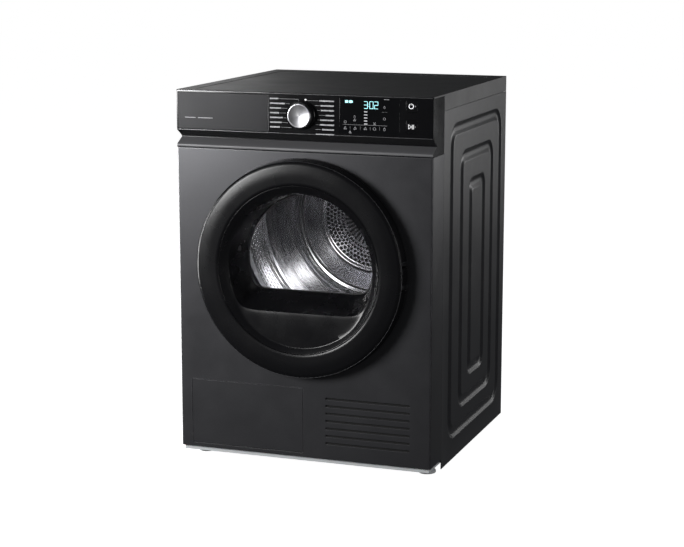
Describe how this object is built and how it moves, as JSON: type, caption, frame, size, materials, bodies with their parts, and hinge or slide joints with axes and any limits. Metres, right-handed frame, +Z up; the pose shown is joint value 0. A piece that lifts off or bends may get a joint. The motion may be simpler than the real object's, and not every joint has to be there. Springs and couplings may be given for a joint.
{
  "type": "clothes dryer",
  "caption": "Front-loading clothes dryer with a round glass door, pull-out water tank, programme knob, turning drum and a heat pump in the base.",
  "frame": {"origin": "middle of the footprint on the floor, under the feet", "axes": "+Z up and the height, +Y to the back, +X to the right as seen from the front"},
  "size_m": [0.6, 0.637, 0.85],
  "materials": {
    "graphite_paint": "satin metallic",
    "cabinet_paint": "satin",
    "worktop_plastic": "satin",
    "gloss_black": "gloss",
    "matte_black": "matte",
    "spun_aluminium": "spun",
    "stainless": "polished",
    "zinc_steel": "zinc plated",
    "pale_plastic": "matte",
    "rubber": "matte",
    "felt": "felt",
    "door_glass": "clear, smoked",
    "circuit_board": "satin",
    "copper_fins": "copper coloured",
    "aluminium_fins": "mill"
  },
  "bodies": {
    "cabinet": {"base_tray": "pale_plastic", "left_side_panel": "cabinet_paint", "right_side_panel": "cabinet_paint", "rear_panel": "zinc_steel", "cord_gland": "matte_black", "worktop": "worktop_plastic", "front_panel": "graphite_paint", "control_fascia": "gloss_black", "display_window": "gloss_black", "control_board": "circuit_board", "door_seal": "rubber", "hinge_bracket": "zinc_steel", "hinge_pin": "zinc_steel", "latch_catch": "matte_black", "door_throat": "matte_black", "front_bulkhead": "zinc_steel", "rear_bulkhead": "zinc_steel", "rear_bearing": "zinc_steel", "air_duct": "matte_black", "front_felt_seal": "felt", "rear_felt_seal": "felt", "drive_belt": "rubber", "motor": "zinc_steel", "fan_housing": "matte_black", "evaporator": "aluminium_fins", "condenser": "copper_fins", "compressor": "matte_black", "condensate_pump": "pale_plastic", "exchanger_cover": "pale_plastic"},
    "door": {"door_ring": "gloss_black", "door_bowl": "gloss_black", "door_window": "door_glass", "door_inner_frame": "matte_black", "hinge_leaf": "zinc_steel", "latch_hook": "zinc_steel"},
    "flap": {"service_flap": "graphite_paint"},
    "tank_drawer": {"drawer_front": "graphite_paint", "water_tank": "pale_plastic"},
    "knob": {"programme_knob": "spun_aluminium"},
    "power_key": {"power_button": "gloss_black"},
    "start_key": {"start_button": "gloss_black"},
    "filter": {"lint_filter": "matte_black"},
    "drum": {"drum_shell": "stainless", "drum_rear_wall": "stainless", "drum_lifter_1": "matte_black", "drum_lifter_2": "matte_black", "drum_lifter_3": "matte_black", "drum_shaft": "zinc_steel"},
    "roller_left": {"drum_roller_left": "rubber"},
    "roller_right": {"drum_roller_right": "rubber"},
    "rotor": {"motor_shaft": "zinc_steel", "fan_wheel": "matte_black"},
    "tensioner": {"tensioner_arm": "zinc_steel"},
    "idler": {"idler_pulley": "matte_black"},
    "lever_left": {"cover_lever_left": "matte_black"},
    "lever_right": {"cover_lever_right": "matte_black"},
    "foot_front_left": {"foot_front_left": "pale_plastic"},
    "foot_front_right": {"foot_front_right": "pale_plastic"},
    "foot_rear_left": {"foot_rear_left": "pale_plastic"},
    "foot_rear_right": {"foot_rear_right": "pale_plastic"}
  },
  "joints": [
    {"name": "door_swing", "type": "hinge", "parent": "cabinet", "child": "door", "pos_m": [0.234, -0.307, 0.462], "axis": [0, 0, 1], "range_deg": [0, 145]},
    {"name": "flap_swing", "type": "hinge", "parent": "cabinet", "child": "flap", "pos_m": [-0.1365, -0.28, 0.0405], "axis": [1, 0, 0], "range_deg": [0, 90]},
    {"name": "drawer_slide", "type": "slide", "parent": "cabinet", "child": "tank_drawer", "axis": [0, -1, 0], "range_m": [0, 0.4]},
    {"name": "knob_turn", "type": "hinge", "parent": "cabinet", "child": "knob", "pos_m": [0, -0.2815, 0.802], "axis": [0, 1, 0], "continuous": true},
    {"name": "power_press", "type": "slide", "parent": "cabinet", "child": "power_key", "axis": [0, 1, 0], "range_m": [0, 0.0012], "stiffness_N_per_m": 600},
    {"name": "start_press", "type": "slide", "parent": "cabinet", "child": "start_key", "axis": [0, 1, 0], "range_m": [0, 0.0012], "stiffness_N_per_m": 600},
    {"name": "filter_lift", "type": "slide", "parent": "cabinet", "child": "filter", "axis": [0, 0, 1], "range_m": [0, 0.2]},
    {"name": "drum_turn", "type": "hinge", "parent": "cabinet", "child": "drum", "pos_m": [0, 0.2195, 0.505], "axis": [0, 1, 0], "continuous": true},
    {"name": "roller_left_turn", "type": "hinge", "parent": "cabinet", "child": "roller_left", "pos_m": [-0.17074, -0.1485, 0.24208], "axis": [0, 1, 0], "continuous": true},
    {"name": "roller_right_turn", "type": "hinge", "parent": "cabinet", "child": "roller_right", "pos_m": [0.17074, -0.1485, 0.24208], "axis": [0, 1, 0], "continuous": true},
    {"name": "rotor_turn", "type": "hinge", "parent": "cabinet", "child": "rotor", "pos_m": [0.15, -0.1005, 0.115], "axis": [0, 1, 0], "continuous": true},
    {"name": "tensioner_swing", "type": "hinge", "parent": "cabinet", "child": "tensioner", "pos_m": [0.085, -0.0915, 0.06], "axis": [0, -1, 0], "range_deg": [0, 6], "stiffness_Nm_per_rad": 3, "springref_deg": -20.05},
    {"name": "idler_turn", "type": "hinge", "parent": "tensioner", "child": "idler", "pos_m": [0.06363, -0.1005, 0.12394], "axis": [0, 1, 0], "continuous": true},
    {"name": "lever_left_turn", "type": "hinge", "parent": "cabinet", "child": "lever_left", "pos_m": [-0.248, -0.1775, 0.105], "axis": [0, 1, 0], "range_deg": [0, 90]},
    {"name": "lever_right_turn", "type": "hinge", "parent": "cabinet", "child": "lever_right", "pos_m": [-0.034, -0.1775, 0.105], "axis": [0, 1, 0], "range_deg": [0, 90]},
    {"name": "foot_front_left_screw", "type": "slide", "parent": "cabinet", "child": "foot_front_left", "axis": [0, 0, -1], "range_m": [0, 0.015]},
    {"name": "foot_front_right_screw", "type": "slide", "parent": "cabinet", "child": "foot_front_right", "axis": [0, 0, -1], "range_m": [0, 0.015]},
    {"name": "foot_rear_left_screw", "type": "slide", "parent": "cabinet", "child": "foot_rear_left", "axis": [0, 0, -1], "range_m": [0, 0.015]},
    {"name": "foot_rear_right_screw", "type": "slide", "parent": "cabinet", "child": "foot_rear_right", "axis": [0, 0, -1], "range_m": [0, 0.015]}
  ],
  "couplings": [
    {"joint": "roller_left_turn", "follows": "drum_turn", "ratio": -8.7813},
    {"joint": "roller_right_turn", "follows": "drum_turn", "ratio": -8.7813},
    {"joint": "rotor_turn", "follows": "drum_turn", "ratio": 19.944},
    {"joint": "idler_turn", "follows": "drum_turn", "ratio": -14.75}
  ]
}
